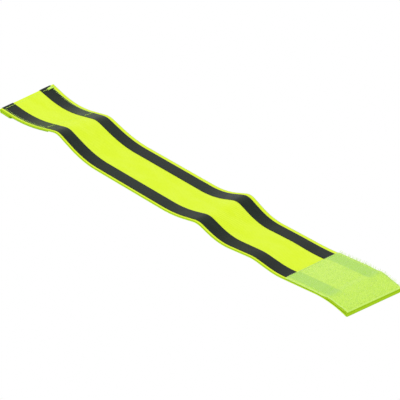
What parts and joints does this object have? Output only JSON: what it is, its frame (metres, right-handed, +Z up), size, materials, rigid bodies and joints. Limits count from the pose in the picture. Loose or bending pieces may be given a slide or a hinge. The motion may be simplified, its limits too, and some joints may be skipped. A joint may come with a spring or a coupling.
{
  "type": "reflective elastic band",
  "caption": "Fluorescent elastic band with reflective tapes and a hook-and-loop closure, to close round an arm, wrist or ankle.",
  "frame": {"origin": "under the middle of the band as it lies, on the surface that it lies on", "axes": "+X along the band from the hook end to the loop end, +Y across it, +Z up from the surface, with the taped face up"},
  "size_m": [0.3554, 0.05, 0.0105],
  "materials": {
    "webbing": "woven, fluorescent yellow",
    "reflective_tape": "dark grey glass-bead film",
    "hook_patch": "moulded hooks on a woven backing",
    "loop_patch": "brushed loops",
    "thread": "sewing thread"
  },
  "bodies": {
    "stretch_01": {"webbing_01": "webbing", "hook_patch_01": "hook_patch", "hook_seam_end": "thread", "hook_seam_far_01": "thread", "hook_seam_near_01": "thread", "reflective_tape_far_01": "reflective_tape", "reflective_tape_near_01": "reflective_tape"},
    "stretch_02": {"webbing_02": "webbing", "hook_patch_02": "hook_patch", "hook_seam_far_02": "thread", "hook_seam_inner": "thread", "hook_seam_near_02": "thread", "reflective_tape_far_02": "reflective_tape", "reflective_tape_near_02": "reflective_tape"},
    "stretch_03": {"webbing_03": "webbing", "reflective_tape_far_03": "reflective_tape", "reflective_tape_near_03": "reflective_tape"},
    "stretch_04": {"webbing_04": "webbing", "reflective_tape_far_04": "reflective_tape", "reflective_tape_near_04": "reflective_tape"},
    "stretch_05": {"webbing_05": "webbing", "reflective_tape_far_05": "reflective_tape", "reflective_tape_near_05": "reflective_tape"},
    "stretch_06": {"webbing_06": "webbing", "reflective_tape_far_06": "reflective_tape", "reflective_tape_near_06": "reflective_tape"},
    "stretch_07": {"webbing_07": "webbing", "reflective_tape_far_07": "reflective_tape", "reflective_tape_near_07": "reflective_tape"},
    "stretch_08": {"webbing_08": "webbing", "reflective_tape_far_08": "reflective_tape", "reflective_tape_near_08": "reflective_tape"},
    "stretch_09": {"webbing_09": "webbing", "reflective_tape_far_09": "reflective_tape", "reflective_tape_near_09": "reflective_tape"},
    "stretch_10": {"webbing_10": "webbing", "reflective_tape_far_10": "reflective_tape", "reflective_tape_near_10": "reflective_tape"},
    "stretch_11": {"webbing_11": "webbing", "loop_patch_11": "loop_patch", "loop_seam_far_11": "thread", "loop_seam_inner": "thread", "loop_seam_near_11": "thread", "reflective_tape_far_11": "reflective_tape", "reflective_tape_near_11": "reflective_tape"},
    "stretch_12": {"webbing_12": "webbing", "loop_patch_12": "loop_patch", "loop_seam_end": "thread", "loop_seam_far_12": "thread", "loop_seam_near_12": "thread", "reflective_tape_far_12": "reflective_tape", "reflective_tape_near_12": "reflective_tape"}
  },
  "joints": [
    {"name": "flex_05", "type": "hinge", "parent": "stretch_06", "child": "stretch_05", "pos_m": [-0.02958, 0, 0.0006], "axis": [0, -1, 0], "range_deg": [-24, 34], "stiffness_Nm_per_rad": 0.002},
    {"name": "flex_04", "type": "hinge", "parent": "stretch_05", "child": "stretch_04", "pos_m": [-0.05917, 0, 0.0006], "axis": [0, -1, 0], "range_deg": [-20, 38], "stiffness_Nm_per_rad": 0.002},
    {"name": "flex_03", "type": "hinge", "parent": "stretch_04", "child": "stretch_03", "pos_m": [-0.08862, 0, 0.00285], "axis": [0, -1, 0], "range_deg": [-18, 40], "stiffness_Nm_per_rad": 0.002},
    {"name": "flex_02", "type": "hinge", "parent": "stretch_03", "child": "stretch_02", "pos_m": [-0.11846, 0, 0.00848], "axis": [0, -1, 0], "range_deg": [-44, 16], "stiffness_Nm_per_rad": 0.002},
    {"name": "flex_01", "type": "hinge", "parent": "stretch_02", "child": "stretch_01", "pos_m": [-0.14794, 0, 0.00347], "axis": [0, -1, 0], "range_deg": [-9, 50], "stiffness_Nm_per_rad": 0.002},
    {"name": "flex_06", "type": "hinge", "parent": "stretch_06", "child": "stretch_07", "pos_m": [0, 0, 0.0006], "axis": [0, 1, 0], "range_deg": [-14, 45], "stiffness_Nm_per_rad": 0.002},
    {"name": "flex_07", "type": "hinge", "parent": "stretch_07", "child": "stretch_08", "pos_m": [0.02941, 0, 0.0056], "axis": [0, 1, 0], "range_deg": [-43, 18], "stiffness_Nm_per_rad": 0.002},
    {"name": "flex_08", "type": "hinge", "parent": "stretch_08", "child": "stretch_09", "pos_m": [0.05924, 0, 0.00123], "axis": [0, 1, 0], "range_deg": [-12, 50], "stiffness_Nm_per_rad": 0.002},
    {"name": "flex_09", "type": "hinge", "parent": "stretch_09", "child": "stretch_10", "pos_m": [0.08873, 0, 0.00242], "axis": [0, 1, 0], "range_deg": [-27, 34], "stiffness_Nm_per_rad": 0.002},
    {"name": "flex_10", "type": "hinge", "parent": "stretch_10", "child": "stretch_11", "pos_m": [0.11828, 0, 0.0023], "axis": [0, 1, 0], "range_deg": [-17, 44], "stiffness_Nm_per_rad": 0.002},
    {"name": "flex_11", "type": "hinge", "parent": "stretch_11", "child": "stretch_12", "pos_m": [0.14786, 0, 0.00531], "axis": [0, 1, 0], "range_deg": [-37, 24], "stiffness_Nm_per_rad": 0.002}
  ]
}
